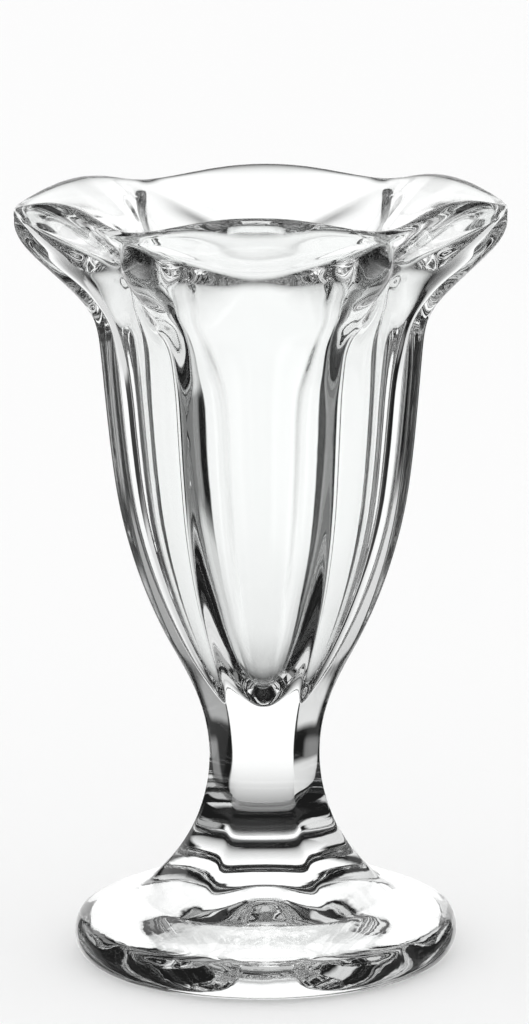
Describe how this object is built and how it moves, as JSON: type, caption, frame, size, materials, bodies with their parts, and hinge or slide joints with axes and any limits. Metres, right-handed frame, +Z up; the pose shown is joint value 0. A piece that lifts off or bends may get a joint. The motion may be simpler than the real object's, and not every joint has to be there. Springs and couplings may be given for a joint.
{
  "type": "sundae glass",
  "caption": "Clear pressed sundae glass: flat-sided tulip bowl with an arched petal rim, solid faceted stem and round domed foot, for serving ice cream and desserts.",
  "frame": {"origin": "middle of the flat ring that the glass stands on, in the plane of the table", "axes": "+Z up along the axis of the glass; a flat side of the bowl faces -Y, and corners of the rim lie on +X and -X"},
  "size_m": [0.1036, 0.0928, 0.1645],
  "materials": {
    "bowl_glass": "clear pressed soda-lime glass, fire polished",
    "stem_glass": "clear pressed soda-lime glass, fire polished",
    "foot_glass": "clear pressed soda-lime glass, fire polished"
  },
  "bodies": {
    "root": {"bowl": "bowl_glass", "stem": "stem_glass", "foot": "foot_glass"}
  },
  "joints": []
}
